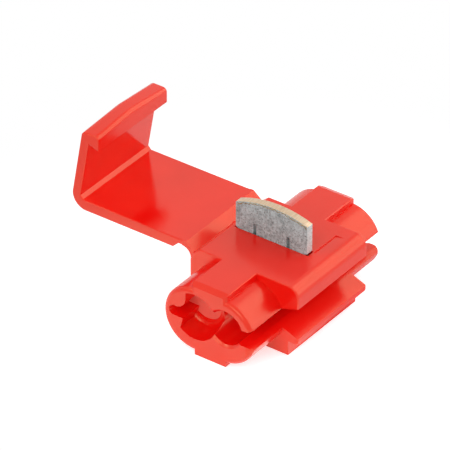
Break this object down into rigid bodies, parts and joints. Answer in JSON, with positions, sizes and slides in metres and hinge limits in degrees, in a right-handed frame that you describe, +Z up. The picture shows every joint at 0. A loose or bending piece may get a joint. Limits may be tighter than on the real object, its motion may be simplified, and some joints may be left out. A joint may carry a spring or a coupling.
{
  "type": "wire tap connector",
  "caption": "Small moulded wire tap, shown open: side-entry and end-entry wire channels, a slotted contact plate standing in its slot, and a fold-over latch cover on a living hinge.",
  "frame": {"origin": "under the middle of the open part, on the plane that the housing stands on", "axes": "+X across the wires, from the open cover to the side mouth of the run channel; +Y along the wires, the way the tap wire leaves its channel; +Z up"},
  "size_m": [0.0252, 0.02, 0.0154],
  "materials": {
    "moulding": "red polypropylene, smooth moulded gloss",
    "contact": "tin-plated brass strip, sheared edges bare"
  },
  "bodies": {
    "housing": {"housing": "moulding", "hinge_web": "moulding"},
    "cover": {"cover": "moulding"},
    "contact": {"contact": "contact"}
  },
  "joints": [
    {"name": "cover_hinge", "type": "hinge", "parent": "housing", "child": "cover", "pos_m": [0.00102, 0, 0.00762], "axis": [0, 1, 0], "range_deg": [0, 169], "deforming": ["hinge_web"]},
    {"name": "contact_press", "type": "slide", "parent": "housing", "child": "contact", "axis": [0, 0, -1], "range_m": [0, 0.0036]}
  ],
  "couplings": [
    {"joint": "cover_hinge", "follows": "contact_press", "rad_per_m": 819}
  ]
}
